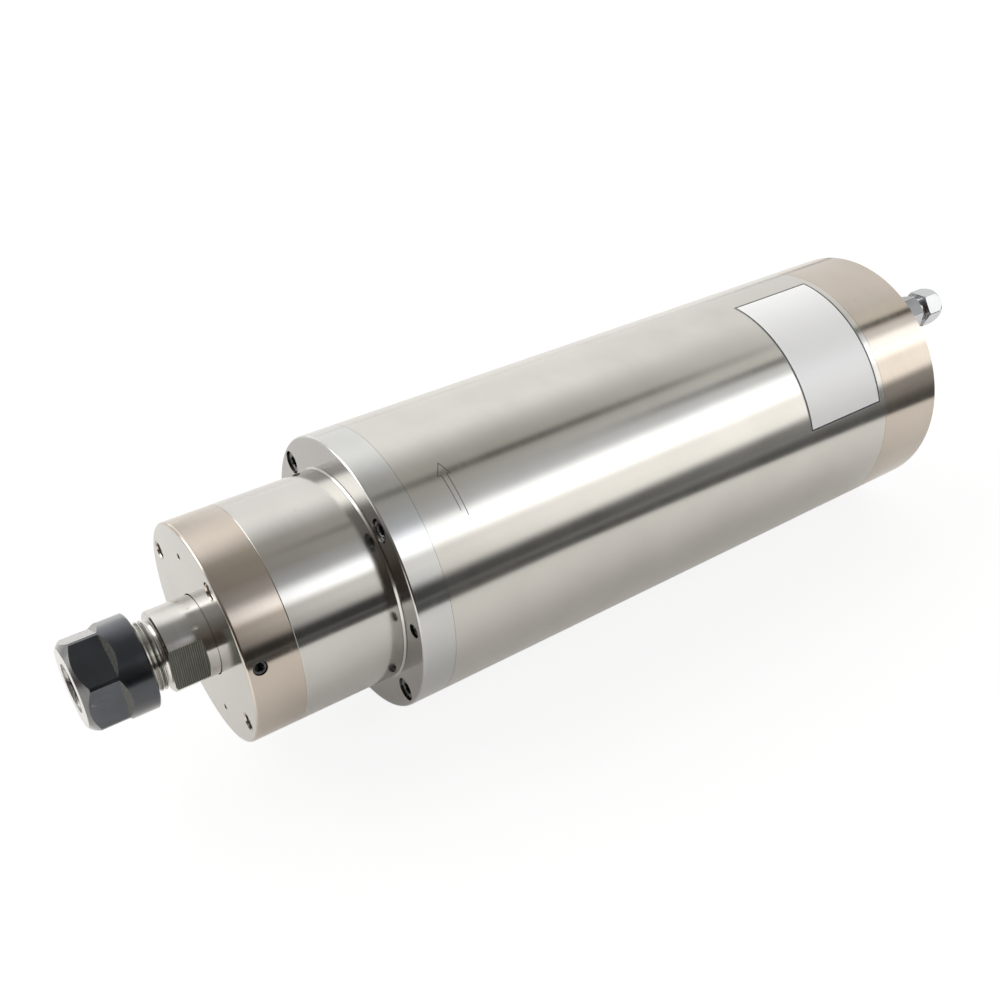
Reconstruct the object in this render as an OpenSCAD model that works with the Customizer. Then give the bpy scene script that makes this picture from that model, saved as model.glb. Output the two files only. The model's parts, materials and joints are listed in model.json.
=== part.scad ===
// Water-cooled motor spindle with a collet nose.
// The axis is X: the nose points to -X, the rear to +X, and +Z is up.
// The origin is on the axis, in the front face of the mounting flange.
// Angles round the axis are measured from +Y towards +Z.

/* [Body] */
// Outside radius of the flange, the body tube and the rear cap
body_r = 52.5; // [52:0.1:53]
// Thickness of the flange
flange_t = 12.9; // [12:0.1:14]
// Length of the body tube
tube_l = 216.2; // [214:0.1:222]
// Length of the rear cap
rear_l = 32.1; // [30:0.1:36]
// Edge radius of the flange
flange_ch = 0.8; // [0.4:0.05:1.2]

/* [Nose] */
// Radius of the nose pilot and of the nose cap
pilot_r = 40.4; // [40:0.1:41]
// Length of the nose pilot
pilot_l = 37.4; // [37:0.1:38]
// Length of the nose cap
cap_l = 18.2; // [17.5:0.1:19]
// Edge radius of the nose cap
cap_ch = 0.95; // [0.3:0.05:1]

/* [Shaft] */
// Radius of the shaft where it leaves the nose cap
shaft_r = 14.6; // [14.2:0.1:14.8]
// Crest radius of the nose thread
thread_r = 12.5; // [12.4:0.05:12.6]
// Pitch of the nose thread
pitch = 1.5; // [1.5:0.5:1.5]
// Half of the width across the wrench flats
flat_h = 12; // [11.5:0.1:13]

/* [Collet] */
// Half of the width across the flats of the collet nut
nut_h = 15; // [14.7:0.05:15.2]
// Outside radius of the collet nut
nut_r = 17; // [16.8:0.05:17.2]
// Length of the collet nut
nut_l = 22.8; // [22.6:0.1:23]
// Radius of the tool bore in the collet
tool_r = 5; // [3:0.5:5]

/* [Screws] */
// Circle radius of the flange screws
screw_R = 46.8; // [46.6:0.1:46.9]
// Angle of the first flange screw
screw_a = 38.9; // [30:0.1:45]
// Circle radius of the threaded holes in the nose cap
cap_hole_R = 34.7; // [34.6:0.1:34.8]
// Angle of the first threaded hole in the nose cap
cap_hole_a = 30.8; // [20:0.1:40]

/* [Water fittings] */
// Circle radius of the two water ports
port_R = 38.4; // [38.2:0.1:38.8]
// Angle of the first water port
port_a = 121.5; // [118:0.1:124]
// Angle between the two water ports
port_step = -90; // [-100:1:-85]

/* [Hidden] */
$fn = 96;

// Stations along the axis
x_cap = -pilot_l - cap_l;         // front face of the nose cap
x_pil = -pilot_l;                 // joint of nose cap and housing
x_tube = flange_t;                // joint of flange and body tube
x_rear = flange_t + tube_l;       // joint of body tube and rear cap
x_end = x_rear + rear_l;          // rear face
x_sh = x_cap - 15.6;              // shoulder of the shaft, behind the thread
x_nr = x_sh - 6.3;                // rear face of the collet nut
x_nf = x_nr - nut_l;              // front face of the collet nut
x_sf = x_nf + 6.5;                // front face of the shaft
x_flat = x_cap - 3.8;             // end of the wrench flats
tan8 = tan(8);
tan30 = tan(30);
// Stations of the bearings
xa = -34;                         // first front bearing, 14 wide
xb = -12;                         // second front bearing, 14 wide
xr = x_rear - 25;                 // rear bearing, 12 wide
xj0 = 24;                         // water jacket, front end
xj1 = x_rear - 33;                // water jacket, rear end
xc0 = xj1 + 0.5;                  // rear bearing carrier, front end
xc1 = x_rear - 3;                 // rear bearing carrier, rear end
xs0 = 60;                         // stator stack, front end
xs1 = xj1 - 30;                   // stator stack, rear end
tube_ri = 43.45;                  // inside radius of the body tube
jack_a = 173.5;                   // first jacking hole
plug_a = 165;                     // air port in the nose cap
mid_a = port_a + port_step / 2;   // middle between the two water ports

// Cylinder along X from x0 to x1
module cx(x0, x1, r) { translate([x0, 0, 0]) rotate([0, 90, 0]) cylinder(h = x1 - x0, r = r); }
// Body of revolution about X; each point is [x, radius]
module rev(p) { rotate([0, 90, 0]) rotate_extrude() polygon([for (q = p) [q[1], q[0]]]); }
// Rounded outer edge: from radius r - c at x to radius r at x + c
function round_edge(x, r, c) = [for (i = [0:6]) [x + c - c * cos(15 * i), r - c + c * sin(15 * i)]];
// Moves a shape from the axis to radius R at angle a, keeping its own turn in step with a
module at(R, a) { rotate([a, 0, 0]) translate([0, R, 0]) children(); }
// Hexagonal prism along X, h is half of the width across flats, corners at 30 degrees from +Y
module hexx(x0, x1, h, turn = 0) { translate([x0, 0, 0]) rotate([turn, 0, 0]) rotate([0, 90, 0]) cylinder(h = x1 - x0, r = h / cos(30), $fn = 6); }
// Socket head cap screw along +X; the top of its head is at x = 0
module cap_screw(head_r, head_h, shank_r, len, af) {
  difference() {
    union() {
      rev([[0, 0], [0, head_r * 0.87], [head_r * 0.05, head_r * 0.95], [head_r * 0.14, head_r], [head_h, head_r], [head_h, 0]]);
      rev([[head_h - 0.1, 0], [head_h - 0.1, shank_r], [head_h + len - 0.5, shank_r], [head_h + len, shank_r - 0.5], [head_h + len, 0]]);
    }
    hexx(-1, head_h * 0.55, af / 2);
    rev([[-0.5, 0], [-0.5, af * 0.62 + 0.5], [0, af * 0.62], [0.35, af / 2], [0.35, 0]]);
  }
}

// ---------------------------------------------------------------- nose
module collet_nut() color([0.13, 0.13, 0.14]) difference() {
  rev([[x_nf, 8.6], [x_nf, nut_r - 3.1], [x_nf + 2.9, nut_r], [x_nr - 0.5, nut_r], [x_nr, nut_r - 0.5],
    [x_nr, thread_r + 0.9], [x_nr - 0.8, thread_r + 0.06], [x_sf - 1, thread_r + 0.06], [x_sf - 1, 9.35],
    [x_nf + 3.5, 9.35], [x_nf + 3.5, 10.08], [x_nf + 1, 8.64], [x_nf + 1, 8.6]]);
  for (k = [0:5]) rotate([60 * k, 0, 0]) translate([0, 0, -12]) linear_extrude(24)
    polygon([[x_nf - 1, nut_h], [x_nr - 10.6, nut_h], [x_nr - 8.6, nut_h + 2], [x_nr - 8.6, nut_r + 4], [x_nf - 1, nut_r + 4]]);
}

module collet() color([0.62, 0.62, 0.64]) {
  x0 = x_nf + 0.8;
  x1 = x0 + 31.5;
  difference() {
    rev([[x0, tool_r], [x0, 8.4], [x0 + 2.6, 9.9], [x0 + 2.6, 9.2], [x0 + 4.8, 9.2], [x0 + 4.8, 10.5], [x0 + 5.6, 10.5],
      [x1 - 0.4, 10.5 - (25.9 - 0.4) * tan8], [x1, 10.5 - 25.9 * tan8 - 0.4], [x1, tool_r]]);
    for (k = [0:3]) rotate([45 * k + 22.5, 0, 0]) translate([x0 - 1, -0.5, -15]) cube([26, 1, 30]);
    for (k = [0:3]) rotate([45 * k, 0, 0]) translate([x0 + 6.5, -0.4, -15]) cube([40, 0.8, 30]);
  }
}

module spindle_shaft() color([0.72, 0.71, 0.69]) {
  n = floor((x_sh - 1.4 - x_sf - 0.6) / pitch);
  xt = x_sh - 1.4 - n * pitch;
  crest = [for (k = [0:n - 1]) each [[xt + k * pitch, thread_r - 0.85], [xt + k * pitch + 0.62 * pitch - 0.19, thread_r],
    [xt + k * pitch + 0.62 * pitch, thread_r], [xt + (k + 1) * pitch - 0.12, thread_r - 0.85]]];
  difference() {
    rev(concat([[x_sf, 10.55], [x_sf, thread_r - 1.1], [xt - 0.01, thread_r - 0.85]], crest,
      [[x_sh - 1.4, thread_r - 1.05], [x_sh - 1, thread_r - 1.05], [x_sh - 0.35, thread_r - 0.7], [x_sh, thread_r - 0.1], [x_sh, shaft_r - 0.7], [x_sh + 0.45, shaft_r],
      [-51.2, shaft_r], [-51.2, 16], [-41, 16], [-41, 21], [xa, 21], [xa, 17.5], [xb + 14, 17.5], [xb + 14, 17.2],
      [14, 17.2], [14, 17], [xs1 + 10, 17], [xs1 + 10, 14], [xr, 14], [xr, 12.5], [xr + 12, 12.5], [xr + 12, 12.2],
      [xr + 20.5, 12.2], [xr + 21, 11.7], [xr + 21, 0], [-38, 0], [-40, 5.4], [x_sf + 28, 5.4], [x_sf + 28, 10.55 - 28 * tan8]]));
    for (s = [-1, 1]) translate([x_sh - 0.1, s > 0 ? flat_h : -flat_h - 10, -20]) cube([x_flat - x_sh + 0.1, 10, 40]);
  }
}

module slinger_ring() color([0.7, 0.7, 0.68])
  rev([[-51, 16.02], [-51, 20], [-49.6, 23.2], [-48, 23.2], [-48, 21.4], [-46.6, 21.4], [-46.6, 23.2], [-44.8, 23.2], [-44.8, 21.4],
    [-43.8, 21.4], [-43.8, 23.2], [-41.2, 23.2], [-41.2, 16.02]]);

module nose_cap() color([0.71, 0.66, 0.6]) {
  difference() {
    rev(concat([[x_cap, 14.95]], round_edge(x_cap, pilot_r, cap_ch), [[x_pil - 0.15, pilot_r], [x_pil, pilot_r - 0.15],
      [x_pil, 36.5], [x_pil - 5.9, 36.5], [x_pil - 5.9, 30.9], [xa - 0.05, 30.9], [xa - 0.05, 27.9], [x_pil - 4, 27.9],
      [x_pil - 4, 24], [x_cap + 3.8, 24], [x_cap + 3.8, 14.95]]));
    for (k = [0:3]) at(cap_hole_R, cap_hole_a + 90 * k) {
      cx(x_cap - 1, x_cap + 10, 3);
      rev([[x_cap - 0.2, 0], [x_cap - 0.2, 3.7], [x_cap + 0.5, 3], [x_cap + 0.5, 0]]);
    }
    for (k = [0, 1]) at(29.5, 75.6 + 180 * k) {
      cx(x_cap - 1, x_cap + 5, 1.2);
      rev([[x_cap - 0.2, 0], [x_cap - 0.2, 1.55], [x_cap + 0.15, 1.2], [x_cap + 0.15, 0]]);
    }
    // radial air port
    rotate([plug_a, 0, 0]) translate([x_cap + 4.7, 0, 0]) rotate([-90, 0, 0]) {
      translate([0, 0, 33.8]) cylinder(h = 10, r = 2.55);
      translate([0, 0, 22]) cylinder(h = 14, r = 1.2);
    }
  }
}

module air_port_plug() color([0.1, 0.1, 0.1])
  rotate([plug_a, 0, 0]) translate([x_cap + 4.7, 0, 0]) rotate([-90, 0, 0]) difference() {
    rotate_extrude() polygon([[0, 34], [2.1, 34], [2.5, 34.4], [2.5, 39.5], [2.15, 39.85], [0, 39.85]]);
    translate([0, 0, 36.2]) cylinder(h = 5, r = 1.4 / cos(30), $fn = 6);
    translate([0, 0, 39.5]) cylinder(h = 0.4, r1 = 1.45, r2 = 1.85);
  }

// ---------------------------------------------------------------- bearings
// Angular contact bearing: bore ri, outside ro, pitch radius pr, ball radius br, width w, from x0
module brg_inner(x0, w, ri, pr, br) color([0.75, 0.75, 0.77]) difference() {
  rev([[x0 + 0.05, ri + 0.5], [x0 + 0.05, pr - br * 0.62], [x0 + w - 0.05, pr - br * 0.75], [x0 + w - 0.05, ri + 0.5], [x0 + w - 0.55, ri + 0.01], [x0 + 0.55, ri + 0.01]]);
  translate([x0 + w / 2, 0, 0]) rotate([0, 90, 0]) rotate_extrude() translate([pr, 0]) circle(r = br + 0.12);
}
module brg_outer(x0, w, ro, pr, br) color([0.75, 0.75, 0.77]) difference() {
  rev([[x0 + 0.05, pr + br * 0.75], [x0 + 0.05, ro - 0.5], [x0 + 0.55, ro - 0.02], [x0 + w - 0.55, ro - 0.02], [x0 + w - 0.05, ro - 0.5], [x0 + w - 0.05, pr + br * 0.62]]);
  translate([x0 + w / 2, 0, 0]) rotate([0, 90, 0]) rotate_extrude() translate([pr, 0]) circle(r = br + 0.12);
}
module brg_balls(x0, w, pr, br, n) color([0.8, 0.8, 0.82]) for (k = [0:n - 1]) at(pr, 360 * k / n) translate([x0 + w / 2, 0, 0]) sphere(r = br, $fn = 24);
module brg_cage(x0, w, pr, br, n) color([0.62, 0.42, 0.25]) difference() {
  rev([[x0 + w / 2 - br - 1, pr - br * 0.4], [x0 + w / 2 - br - 1, pr + br * 0.4], [x0 + w / 2 + br + 1, pr + br * 0.4], [x0 + w / 2 + br + 1, pr - br * 0.4]]);
  for (k = [0:n - 1]) rotate([360 * k / n, 0, 0]) translate([x0 + w / 2, 0, 0]) rotate([-90, 0, 0]) translate([0, 0, pr - br]) cylinder(h = 2 * br, r = br + 0.06);
}
module front_bearing_a_inner() brg_inner(xa, 14, 17.5, 24.25, 3.9);
module front_bearing_a_outer() brg_outer(xa, 14, 31, 24.25, 3.9);
module front_bearing_a_balls() brg_balls(xa, 14, 24.25, 3.9, 15);
module front_bearing_a_cage() brg_cage(xa, 14, 24.25, 3.9, 15);
module front_bearing_b_inner() brg_inner(xb, 14, 17.5, 24.25, 3.9);
module front_bearing_b_outer() brg_outer(xb, 14, 31, 24.25, 3.9);
module front_bearing_b_balls() brg_balls(xb, 14, 24.25, 3.9, 15);
module front_bearing_b_cage() brg_cage(xb, 14, 24.25, 3.9, 15);
module rear_bearing_inner() brg_inner(xr, 12, 12.5, 18, 3.1);
module rear_bearing_outer() brg_outer(xr, 12, 23.5, 18, 3.1);
module rear_bearing_balls() brg_balls(xr, 12, 18, 3.1, 14);
module rear_bearing_cage() brg_cage(xr, 12, 18, 3.1, 14);

module ring(x0, x1, ri, ro, ch = 0.3) rev([[x0, ri], [x0, ro - ch], [x0 + ch, ro], [x1 - ch, ro], [x1, ro - ch], [x1, ri]]);
module inner_spacer() color([0.55, 0.55, 0.57]) ring(xa + 14, xb, 17.53, 21);
module outer_spacer() color([0.55, 0.55, 0.57]) ring(xa + 14, xb, 27.6, 30.95);
module lock_nut(x0, x1, ri, ro) color([0.3, 0.3, 0.32]) difference() {
  ring(x0, x1, ri, ro, 0.5);
  for (k = [0:3]) rotate([90 * k + 45, 0, 0]) translate([x0 + 2.5, ro - 1.8, -2]) cube([x1 - x0, 5, 4]);
}
module front_lock_nut() lock_nut(xb + 14.05, xb + 23.5, 17.23, 24);
module rear_lock_nut() lock_nut(xr + 12.05, xr + 19, 12.23, 18);

// ---------------------------------------------------------------- rotor and stator
module rotor_core() color([0.35, 0.35, 0.37]) difference() {
  rev([[xs0, 17.02], [xs0, 25.1], [xs1, 25.1], [xs1, 17.02]]);
  for (k = [0:17]) at(21.8, 20 * k) cx(xs0 - 1, xs1 + 1, 1.82);
}
module rotor_cage() color([0.78, 0.78, 0.8]) union() {
  ring(xs0 - 8, xs0 - 0.02, 17.3, 24.6, 0.8);
  ring(xs1 + 0.02, xs1 + 8, 17.3, 24.6, 0.8);
  for (k = [0:17]) at(21.8, 20 * k) cx(xs0 - 4, xs1 + 4, 1.8);
}
module stator_core() color([0.4, 0.4, 0.42]) difference() {
  rev([[xs0, 25.6], [xs0, 38.45], [xs1, 38.45], [xs1, 25.6]]);
  for (k = [0:23]) rotate([15 * k, 0, 0]) {
    translate([xs0 - 1, 27.2, -1.9]) cube([xs1 - xs0 + 2, 6.4, 3.8]);
    translate([xs0 - 1, 24, -0.6]) cube([xs1 - xs0 + 2, 4, 1.2]);
  }
}
module stator_windings() color([0.72, 0.4, 0.2]) union() {
  for (e = [[xs0 - 20, xs0 - 0.5], [xs1 + 0.5, xs1 + 20]])
    rev([[e[0], 28.5], [e[0], 34.5], [e[0] + 2, 36.5], [e[1] - 2, 36.5], [e[1], 34.5], [e[1], 27.2], [e[1] - 1, 26.6], [e[0] + 2, 26.6]]);
  for (k = [0:23]) rotate([15 * k, 0, 0]) translate([xs0 - 1.5, 27.7, -1.6]) cube([xs1 - xs0 + 3, 5.6, 3.2]);
}
// One lead: straight from the winding, a slant, then straight into the socket
module lead(a, dR, y2, z2) {
  p = [[xs1 + 20.1, 31 * cos(a) , 31 * sin(a)], [x_rear + 4, 31 * cos(a), 31 * sin(a)], [x_end - 20, y2, z2], [x_end - 8.6, y2, z2]];
  for (i = [0:2]) {
    d = p[i + 1] - p[i];
    l = norm(d);
    translate(p[i]) rotate([0, acos(d[2] / l), atan2(d[1], d[0])]) cylinder(h = l, r = 1.3);
  }
  for (i = [1:2]) translate(p[i]) sphere(r = 1.6, $fn = 24);
}
sock_y = 16 * cos(mid_a + 180);
sock_z = 16 * sin(mid_a + 180);
module lead_wires() color([0.75, 0.15, 0.12]) for (k = [0:3]) lead(mid_a + 180 - 8 + 16 / 3 * k, 0, sock_y + 5 * cos(mid_a + [225, 135, 315, 45][k]), sock_z + 5 * sin(mid_a + [225, 135, 315, 45][k]));

// ---------------------------------------------------------------- housing
module front_housing() color([0.74, 0.74, 0.73]) difference() {
  rev(concat([[x_pil - 5.7, 31], [x_pil - 5.7, 36], [x_pil - 5.3, 36.4], [x_pil, 36.4], [x_pil, pilot_r - 0.15], [x_pil + 0.15, pilot_r],
    [-0.8, pilot_r], [-0.8, pilot_r - 0.5], [-0.62, pilot_r - 0.5], [-0.62, pilot_r], [0, pilot_r + 0.62]], round_edge(0, body_r, flange_ch),
    [[flange_t - 0.05, body_r], [flange_t, body_r - 0.25], [flange_t, 43.4], [flange_t + 2.2, 43.4], [flange_t + 2.2, 41.6], [flange_t + 4.6, 41.6],
    [flange_t + 4.6, 43.4], [flange_t + 7, 43.4], [flange_t + 7.6, 42.8], [flange_t + 7.6, 30], [xb + 19, 30], [xb + 19, 28.2], [xb + 14.02, 28.2], [xb + 14.02, 31]]));
  for (k = [0:3]) at(screw_R, screw_a + 90 * k) {
    cx(-1, 6.2, 4.4);
    cx(0, flange_t + 1, 2.75);
  }
  for (k = [0, 1]) at(47.5, jack_a + 180 * k) cx(-1, flange_t + 1, 2.6);
}
module flange_screws() color([0.1, 0.1, 0.1]) for (k = [0:3]) at(screw_R, screw_a + 90 * k) translate([0.7, 0, 0]) cap_screw(4.2, 5.45, 2.5, 18, 4);
module body_tube() color([0.74, 0.74, 0.71]) difference() {
  rev([[x_tube, tube_ri], [x_tube, body_r - 0.25], [x_tube + 0.05, body_r], [x_rear - 0.06, body_r], [x_rear, body_r - 0.25], [x_rear, tube_ri]]);
  for (k = [0:3]) at(screw_R, screw_a + 90 * k) {
    cx(x_tube - 1, x_tube + 13, 2.52);
  }
  for (k = [0:3]) at(screw_R, mid_a + 90 * k) cx(x_rear - 14, x_rear + 1, 2.52);
}
module o_ring(x, R, r) color([0.08, 0.08, 0.08]) translate([x, 0, 0]) rotate([0, 90, 0]) rotate_extrude() translate([R, 0]) circle(r = r);
module housing_o_ring() o_ring(flange_t + 3.4, 42.52, 0.9);
module jacket_o_ring() o_ring(xj0 + 3.4, 42.52, 0.9);
module carrier_o_ring() o_ring(xc1 - 6, 42.52, 0.9);
module cap_o_ring() o_ring(x_rear - 1.1, 42.72, 0.7);

// Water jacket: six lengthwise channels in series, inlet and outlet both at the rear
module water_jacket() color([0.6, 0.6, 0.6]) difference() {
  rev([[xj0, 38.5], [xj0, 43.1], [xj0 + 0.3, 43.4], [xj1 - 0.3, 43.4], [xj1, 43.1], [xj1, 38.5]]);
  rev([[xj0 + 2.2, 41.6], [xj0 + 2.2, 45], [xj0 + 4.6, 45], [xj0 + 4.6, 41.6]]);
  for (k = [0:5]) {
    a = mid_a + 60 * k;
    // channel between rib k and rib k + 1
    rotate([a, 0, 0]) intersection() {
      rev([[xj0 + 8, 40.8], [xj0 + 8, 45], [xj1 - 8, 45], [xj1 - 8, 40.8]]);
      translate([0, 0, 0]) rotate([0, 90, 0]) linear_extrude(400) polygon([[0, 0], [-60 * sin(4), 60 * cos(4)], [-80 * sin(30), 80 * cos(30)], [-60 * sin(56), 60 * cos(56)]]);
    }
    // passage through rib k + 1, at the front or at the rear in turn
    if (k < 5) rotate([a + 60, 0, 0]) translate([k % 2 == 0 ? xj0 + 8.7 : xj1 - 20.7, 41.1, -8]) cube([12, 5, 16]);
  }
  for (s = [0, 1]) at(port_R + 2.2, port_a + port_step * s) translate([xj1 - 14, -1.2, -3]) cube([15, 6, 6]);
}

module rear_bearing_carrier() color([0.66, 0.66, 0.66]) difference() {
  rev([[xc0, 16], [xc0, 43.1], [xc0 + 0.3, 43.4], [xc1 - 7.2, 43.4], [xc1 - 7.2, 41.6], [xc1 - 4.8, 41.6], [xc1 - 4.8, 43.4], [xc1 - 0.3, 43.4], [xc1, 43.1],
    [xc1, 27], [xr + 13, 27], [xr + 13, 23.55], [xr - 3.2, 23.55], [xr - 3.2, 16]]);
  for (s = [0, 1]) at(port_R, port_a + port_step * s) {
    cx(xc0 - 1, xc1 + 1, 1.9);
    cx(xc1 - 4.2, xc1 + 1, 2.95);
  }
  at(31, mid_a + 180) translate([xc0 - 1, -2.4, -7]) cube([xc1 - xc0 + 2, 4.8, 14]);
}
// Two disc springs, back to back, that push the rear bearing's outer ring
module preload_springs() color([0.5, 0.5, 0.52]) {
  rev([[xr - 3.1, 19.6], [xr - 2.4, 19.6], [xr - 1.65, 23.2], [xr - 2.35, 23.2]]);
  rev([[xr - 0.75, 19.6], [xr - 0.05, 19.6], [xr - 0.8, 23.2], [xr - 1.5, 23.2]]);
}
module transfer_tubes() color([0.75, 0.62, 0.3]) for (s = [0, 1]) at(port_R, port_a + port_step * s) rev([[xc1 - 4, 1.9], [xc1 - 4, 2.9], [x_rear + 3.6, 2.9], [x_rear + 3.6, 1.9]]);

module rear_cap() color([0.71, 0.66, 0.6]) difference() {
  union() {
    difference() {
      rev([[xc1 + 0.1, 39.2], [xc1 + 0.1, 43.4], [x_rear - 2, 43.4], [x_rear - 2, 42], [x_rear, 42], [x_rear, body_r - 0.25], [x_rear + 0.06, body_r],
        [x_end - 0.5, body_r], [x_end, body_r - 0.5], [x_end, 0], [x_end - 10.2, 0], [x_end - 10.2, 39.2]]);
    }
    for (s = [0, 1]) at(port_R, port_a + port_step * s) intersection() {
      cx(x_rear + 0.6, x_end - 10.1, 6.2);
      translate([0, -port_R, 0]) cx(x_rear, x_end, 41);
    }
  }
  for (s = [0, 1]) at(port_R, port_a + port_step * s) {
    cx(x_end - 9, x_end + 1, 4.6);
    cx(xc1 - 1, x_end - 8, 2.95);
  }
  for (k = [0:3]) at(screw_R, mid_a + 90 * k) {
    cx(x_end - 6.2, x_end + 1, 4.4);
    cx(x_rear - 1, x_end, 2.75);
  }
  translate([0, sock_y, sock_z]) cx(x_end - 12, x_end + 1, 10.3);
  translate([0, sock_y, sock_z]) for (k = [0:3]) rotate([mid_a + 45 + 90 * k, 0, 0]) translate([0, 14.2, 0]) cx(x_end - 7, x_end + 1, 1.27);
}
module rear_cap_screws() color([0.1, 0.1, 0.1]) for (k = [0:3]) at(screw_R, mid_a + 90 * k) translate([x_end - 0.7, 0, 0]) mirror([1, 0, 0]) cap_screw(4.2, 5.45, 2.5, x_end - x_rear + 6, 4);

// ---------------------------------------------------------------- water fittings
x_w = x_end + 1.5;                // top of the sealing washer
x_h = x_end + 14.7;               // rear end of the hexagon
x_fn = x_end + 18.8;              // front face of the compression nut
module fit_body() color([0.8, 0.8, 0.82]) difference() {
  union() {
    rev([[x_end - 8.4, 3], [x_end - 8.4, 4.2], [x_end - 8, 4.55], [x_w, 4.55], [x_w, 3]]);
    intersection() {
      hexx(x_w, x_h, 7, 6.3);
      rev([[x_w, 0], [x_w, 7.2], [x_w + 0.5, 7.95], [x_h - 0.5, 7.95], [x_h, 7.2], [x_h, 0]]);
    }
    rev([[x_h - 0.1, 3], [x_h - 0.1, 5], [x_h + 1.2, 5], [x_h + 1.6, 5.5], [x_fn + 5.6, 5.5], [x_fn + 6, 5.1], [x_fn + 6, 3]]);
  }
  cx(x_end - 9, x_fn + 7, 3);
  cx(x_fn - 2, x_fn + 7, 4.05);
}
module fit_ferrule() color([0.76, 0.62, 0.32])
  rev([[x_fn + 6.1, 4.1], [x_fn + 6.1, 4.3], [x_fn + 7.6, 5.2], [x_fn + 8.6, 5.2], [x_fn + 9.2, 4.6], [x_fn + 9.2, 4.1]]);
module fit_nut() color([0.82, 0.82, 0.84]) difference() {
  intersection() {
    hexx(x_fn, x_fn + 11, 7.05, 23.5);
    rev([[x_fn, 0], [x_fn, 7.5], [x_fn + 0.35, 8.05], [x_fn + 6.4, 8.05], [x_fn + 8.6, 7.3], [x_fn + 10.2, 6.1], [x_fn + 11, 5.2], [x_fn + 11, 0]]);
  }
  cx(x_fn - 1, x_fn + 9.4, 5.58);
  cx(x_fn, x_fn + 12, 4.3);
}
module fitting_a_body() at(port_R, port_a) fit_body();
module fitting_a_ferrule() at(port_R, port_a) fit_ferrule();
module fitting_a_nut() at(port_R, port_a) fit_nut();
module fitting_b_body() at(port_R, port_a + port_step) fit_body();
module fitting_b_ferrule() at(port_R, port_a + port_step) fit_ferrule();
module fitting_b_nut() at(port_R, port_a + port_step) fit_nut();
module fitting_washers() color([0.72, 0.45, 0.3]) for (s = [0, 1]) at(port_R, port_a + port_step * s) ring(x_end + 0.02, x_w - 0.02, 4.65, 6.4, 0.2);

// ---------------------------------------------------------------- power socket
module sock(turn = 0) translate([0, sock_y, sock_z]) rotate([mid_a + turn, 0, 0]) children();
module socket_gasket() color([0.1, 0.1, 0.1]) sock() difference() {
  translate([x_end + 0.02, -13, -13]) cube([0.96, 26, 26]);
  cx(x_end - 1, x_end + 2, 10.4);
  for (k = [0:3]) rotate([45 + 90 * k, 0, 0]) translate([0, 14.2, 0]) cx(x_end - 1, x_end + 3, 1.7);
}
module socket_shell() color([0.75, 0.75, 0.76]) sock() difference() {
  union() {
    translate([x_end + 1, -13, -13]) cube([2.5, 26, 26]);
    rev([[x_end - 7, 9.3], [x_end - 7, 10.1], [x_end + 3, 10.1], [x_end + 3, 11.2], [x_end + 16.6, 11.2], [x_end + 17, 10.8], [x_end + 17, 9.3]]);
  }
  cx(x_end - 8, x_end + 20, 9.3);
  for (k = [0:3]) rotate([45 + 90 * k, 0, 0]) translate([0, 14.2, 0]) cx(x_end, x_end + 4, 1.6);
  for (k = [0:4]) rev([[x_end + 6.5 + 2 * k, 10.8], [x_end + 7.1 + 2 * k, 12], [x_end + 7.3 + 2 * k, 12], [x_end + 7.9 + 2 * k, 10.8]]);
}
module socket_insert() color([0.07, 0.07, 0.07]) sock() difference() {
  union() {
    cx(x_end - 6, x_end + 5, 9.26);
    translate([x_end + 4, 6.2, -1.2]) cube([8, 2.6, 2.4]);
  }
  for (k = [0:3]) rotate([45 + 90 * k, 0, 0]) translate([0, 5, 0]) cx(x_end - 8, x_end + 6, 1.28);
}
module socket_pins() color([0.8, 0.65, 0.3]) sock() for (k = [0:3]) rotate([45 + 90 * k, 0, 0]) translate([0, 5, 0])
  rev([[x_end - 8.5, 0], [x_end - 8.5, 1.25], [x_end + 12.5, 1.25], [x_end + 13.5, 0.5], [x_end + 13.5, 0]]);
module socket_screws() color([0.6, 0.6, 0.62]) sock() for (k = [0:3]) rotate([45 + 90 * k, 0, 0]) translate([x_end + 5.2, 14.2, 0]) mirror([1, 0, 0]) cap_screw(2.4, 1.65, 1.25, 6.5, 1.5);

// ---------------------------------------------------------------- label
module label_plate() color([0.9, 0.9, 0.9]) rotate([89.7, 0, 0]) rotate([0, 90, 0]) rotate([0, 0, 90])
  rotate_extrude(angle = 71.3) translate([body_r + 0.005, x_rear - 44]) square([0.075, 41]);

collet_nut();
collet();
spindle_shaft();
slinger_ring();
front_bearing_a_inner();
front_bearing_a_outer();
front_bearing_a_balls();
front_bearing_a_cage();
front_bearing_b_inner();
front_bearing_b_outer();
front_bearing_b_balls();
front_bearing_b_cage();
inner_spacer();
outer_spacer();
front_lock_nut();
rotor_core();
rotor_cage();
rear_bearing_inner();
rear_bearing_outer();
rear_bearing_balls();
rear_bearing_cage();
rear_lock_nut();
preload_springs();
nose_cap();
air_port_plug();
front_housing();
flange_screws();
body_tube();
water_jacket();
housing_o_ring();
jacket_o_ring();
carrier_o_ring();
cap_o_ring();
stator_core();
stator_windings();
lead_wires();
rear_bearing_carrier();
transfer_tubes();
rear_cap();
rear_cap_screws();
fitting_a_body();
fitting_a_ferrule();
fitting_a_nut();
fitting_b_body();
fitting_b_ferrule();
fitting_b_nut();
fitting_washers();
socket_gasket();
socket_shell();
socket_insert();
socket_pins();
socket_screws();
label_plate();
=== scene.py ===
import bpy, bmesh, math, json, random
from mathutils import Vector, Matrix


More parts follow.
